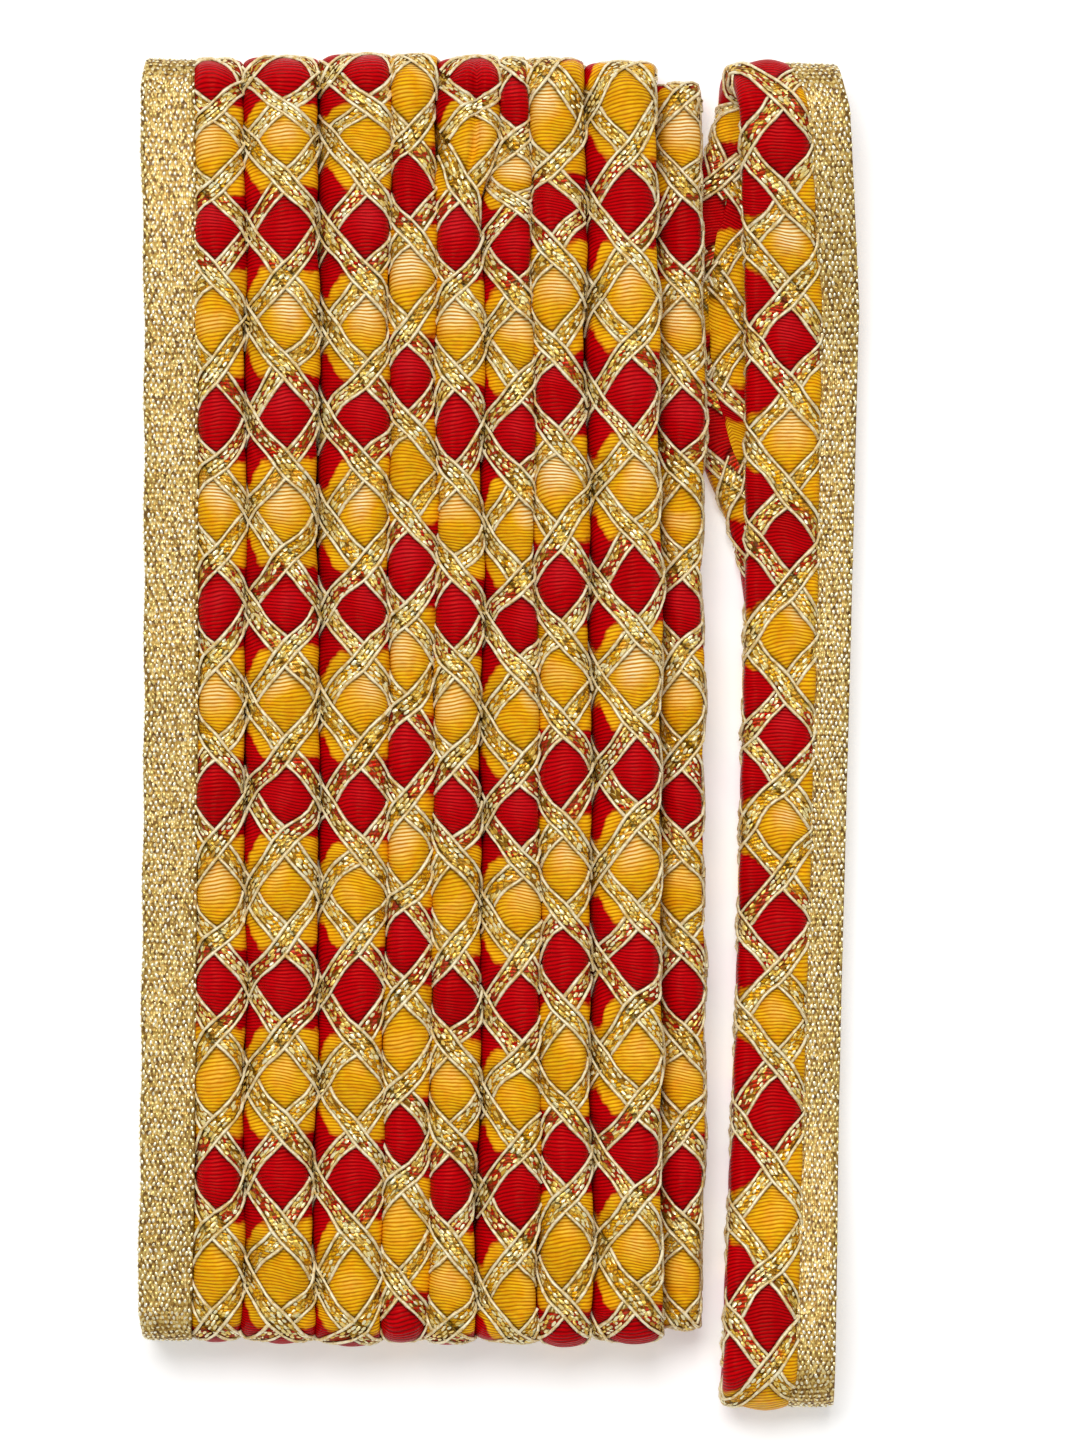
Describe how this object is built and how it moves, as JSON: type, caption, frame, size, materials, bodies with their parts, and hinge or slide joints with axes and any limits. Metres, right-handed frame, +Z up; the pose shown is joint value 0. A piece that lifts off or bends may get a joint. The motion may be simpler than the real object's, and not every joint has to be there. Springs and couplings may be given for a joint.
{
  "type": "flat-wound roll of gota trim",
  "caption": "Flat-wound roll of padded trim: ribbed cloth piping under a net of metallic gold bands, with a woven gold tape along one edge.",
  "frame": {"origin": "middle of the base, on the surface that the roll lies on", "axes": "+Z up, out of the face that shows; +Y along the turns, towards the head folds; +X towards the loose last turn"},
  "size_m": [0.1154, 0.218, 0.0205],
  "materials": {
    "piping_cloth": "satin ribbed cloth, crimson and amber by turns, under a net of pale gold bands",
    "gota_tape": "woven metallic gold tape"
  },
  "bodies": {
    "root": {"wound_trim": "piping_cloth", "outer_tape": "gota_tape", "end_turn_piping": "piping_cloth", "end_turn_tape": "gota_tape"}
  },
  "joints": []
}
